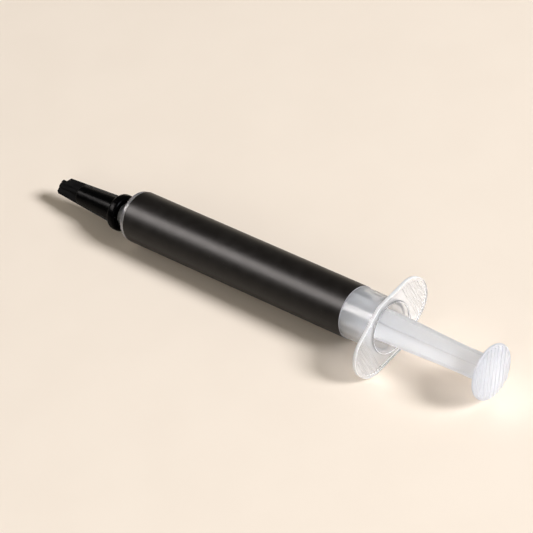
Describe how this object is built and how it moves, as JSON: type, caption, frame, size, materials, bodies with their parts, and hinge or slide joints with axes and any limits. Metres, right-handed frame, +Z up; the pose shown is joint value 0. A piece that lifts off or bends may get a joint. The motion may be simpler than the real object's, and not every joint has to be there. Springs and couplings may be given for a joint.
{
  "type": "thermal paste syringe",
  "caption": "Small clear plastic syringe with a black label sleeve, black winged tip cap, rounded lozenge finger flange and a plunger drawn part way out, lying on its side.",
  "frame": {"origin": "on the surface that the syringe lies on, under the middle of its bounding box", "axes": "+X along the syringe from the tip cap towards the thumb disc, +Z up, +Y along the finger flange's width"},
  "size_m": [0.1121, 0.0218, 0.0132],
  "materials": {
    "clear_plastic": "clear moulded plastic, slightly milky",
    "label_black": "satin black film",
    "paste_grey": "grey paste",
    "piston_rubber": "black rubber",
    "milky_plastic": "milky moulded plastic",
    "cap_black": "glossy black moulded plastic"
  },
  "bodies": {
    "barrel": {"barrel": "clear_plastic", "label": "label_black", "paste": "paste_grey"},
    "plunger": {"plunger_rod": "milky_plastic", "piston": "piston_rubber"},
    "cap": {"tip_cap": "cap_black"}
  },
  "joints": [
    {"name": "plunger_slide", "type": "slide", "parent": "barrel", "child": "plunger", "axis": [0.9998, 0, 0.0197], "range_m": [-0.0192, 0.034], "deforming": ["paste"]},
    {"name": "cap_pull", "type": "slide", "parent": "barrel", "child": "cap", "axis": [-0.9998, 0, -0.0197], "range_m": [0, 0.02]}
  ]
}
